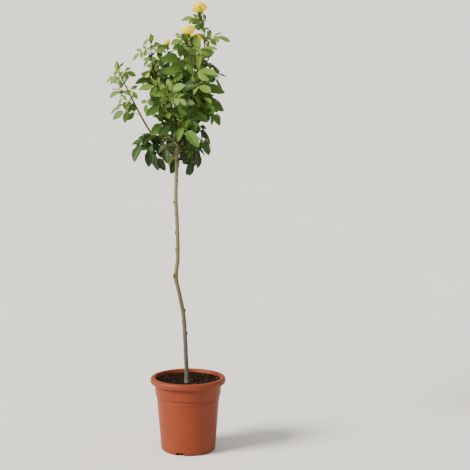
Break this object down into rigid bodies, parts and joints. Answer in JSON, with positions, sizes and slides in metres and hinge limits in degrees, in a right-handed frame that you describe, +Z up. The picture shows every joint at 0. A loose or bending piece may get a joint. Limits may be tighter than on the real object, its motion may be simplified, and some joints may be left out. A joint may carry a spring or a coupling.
{
  "type": "standard rose in a pot",
  "caption": "Standard rose: a bush rose with yellow blooms grafted on a tall bare stem, in a terracotta coloured plastic pot filled with compost.",
  "frame": {"origin": "centre of the flat underside of the pot", "axes": "+Z up, +X to the right and +Y to the back, seen from the front"},
  "size_m": [0.391, 0.3394, 1.4259],
  "materials": {
    "terracotta_plastic": "moulded, satin, terracotta coloured",
    "compost": "moist dark compost with bark pieces",
    "bark": "young grey-green bark",
    "foliage": "green leaves, soft satin"
  },
  "bodies": {
    "root": {"pot": "terracotta_plastic", "compost": "compost", "stem": "bark", "bough_left_arch": "bark", "leaves_left_arch": "foliage", "bough_upper_left": "bark", "leaves_upper_left": "foliage", "bough_centre": "bark", "leaves_centre": "foliage", "bough_tall_right": "bark", "leaves_tall_right": "foliage", "bough_right": "bark", "leaves_right": "foliage", "bough_low_right": "bark", "leaves_low_right": "foliage", "bough_low_left": "bark", "leaves_low_left": "foliage", "bough_front": "bark", "leaves_front": "foliage", "bough_back_left": "bark", "leaves_back_left": "foliage", "bough_back_right": "bark", "leaves_back_right": "foliage", "bough_back_low": "bark", "leaves_back_low": "foliage"}
  },
  "joints": []
}
